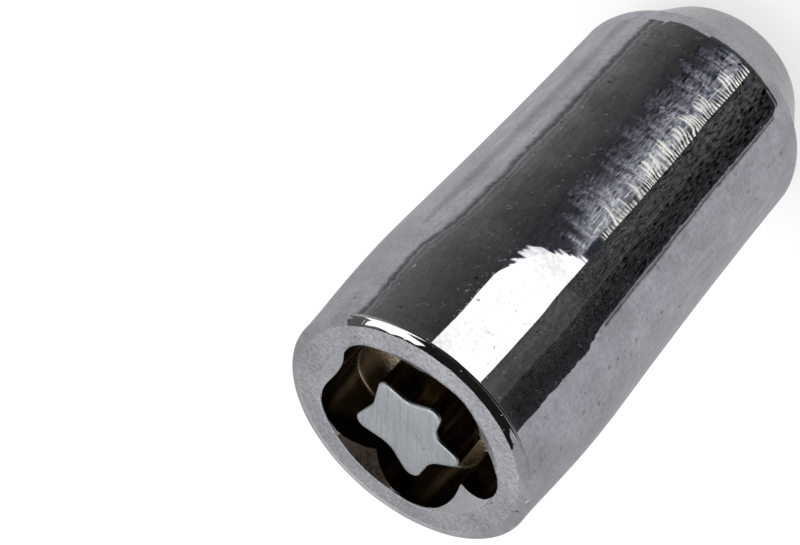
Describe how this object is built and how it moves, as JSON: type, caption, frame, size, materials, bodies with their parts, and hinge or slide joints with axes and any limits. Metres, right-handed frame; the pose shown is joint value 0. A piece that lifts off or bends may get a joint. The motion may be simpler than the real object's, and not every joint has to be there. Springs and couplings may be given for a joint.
{
  "type": "locking wheel nut",
  "caption": "Round chrome-plated locking wheel nut: a tapered cylinder with a conical seat, a blind threaded bore and a lobed key recess round a pointed post.",
  "frame": {"origin": "centre of the flat ring at the seat end, which the nut stands on", "axes": "+Z along the nut's axis, from the seat end up to the key face; one point of the post, with the two narrowest gaps beside it, points to -Y"},
  "size_m": [0.0254, 0.0254, 0.0564],
  "materials": {
    "chrome_plate": "bright chrome plate over turned and polished steel, satin on the key face and the seat"
  },
  "bodies": {
    "root": {"wheel_nut": "chrome_plate"}
  },
  "joints": []
}
